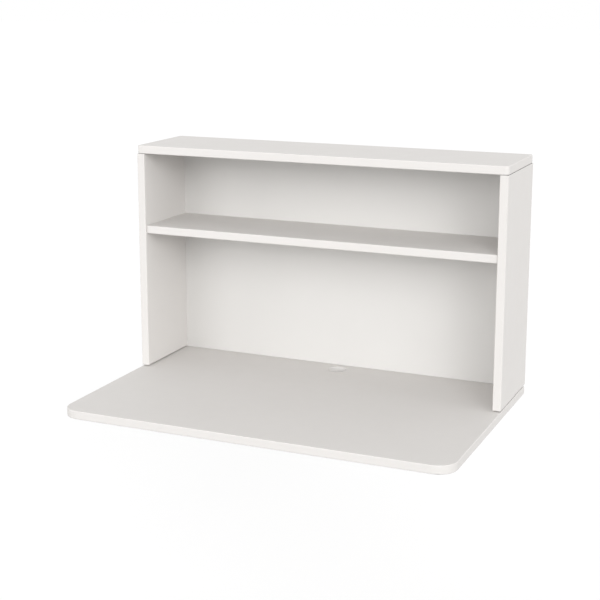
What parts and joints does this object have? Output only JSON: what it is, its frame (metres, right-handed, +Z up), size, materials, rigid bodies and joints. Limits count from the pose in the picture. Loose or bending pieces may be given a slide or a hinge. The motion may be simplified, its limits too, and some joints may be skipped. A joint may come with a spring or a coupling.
{
  "type": "fold-down wall desk",
  "caption": "White wall-mounted desk: an open cabinet with a shelf and back panel over a deep rounded desktop with a cable hole, which folds down flat against the wall on steel brackets.",
  "frame": {"origin": "middle of the wall cleat's row of screws, on the wall plane", "axes": "+X to the right as seen from the front, +Y into the wall (the front faces -Y), +Z up"},
  "size_m": [0.85, 0.546, 0.69],
  "materials": {
    "painted_board": "satin white lacquer on 18 mm board",
    "back_board": "satin white hardboard",
    "plain_wood": "bare plywood",
    "dowel_wood": "bare beech",
    "bracket_paint": "white powder coat",
    "zinc": "zinc plated"
  },
  "bodies": {
    "cabinet": {"top_board": "painted_board", "side_left": "painted_board", "side_right": "painted_board", "shelf": "painted_board", "back_panel": "back_board", "hanging_rail": "plain_wood", "wall_cleat": "plain_wood", "lower_rail": "plain_wood", "top_dowels": "dowel_wood", "shelf_dowels": "dowel_wood", "rail_dowels": "dowel_wood", "shelf_cams": "zinc", "shelf_cam_bolts": "zinc", "bracket_leg_left": "bracket_paint", "bracket_leg_right": "bracket_paint", "fold_pin_left": "zinc", "fold_pin_right": "zinc", "strut_pin_left": "zinc", "strut_pin_right": "zinc", "fold_washers_left": "zinc", "fold_washers_right": "zinc", "tab_screws_left": "zinc", "tab_screws_right": "zinc"},
    "desktop": {"desktop": "painted_board", "bracket_arm_left": "bracket_paint", "bracket_arm_right": "bracket_paint", "arm_screws_left": "zinc", "arm_screws_right": "zinc"},
    "strut_left": {"bracket_strut_left": "bracket_paint", "slot_pin_left": "zinc", "slot_sleeves_left": "zinc"},
    "strut_right": {"bracket_strut_right": "bracket_paint", "slot_pin_right": "zinc", "slot_sleeves_right": "zinc"}
  },
  "joints": [
    {"name": "desktop_fold", "type": "hinge", "parent": "cabinet", "child": "desktop", "pos_m": [0, -0.017, -0.442], "axis": [1, 0, 0], "range_deg": [0, 90]},
    {"name": "strut_left_swing", "type": "hinge", "parent": "cabinet", "child": "strut_left", "pos_m": [-0.27, -0.033, -0.562], "axis": [1, 0, 0], "range_deg": [0, 122.19]},
    {"name": "strut_right_swing", "type": "hinge", "parent": "cabinet", "child": "strut_right", "pos_m": [0.27, -0.033, -0.562], "axis": [1, 0, 0], "range_deg": [0, 122.19]}
  ],
  "couplings": [
    {"joint": "strut_left_swing", "follows": "desktop_fold", "ratio": 1.3576},
    {"joint": "strut_right_swing", "follows": "desktop_fold", "ratio": 1.3576}
  ]
}
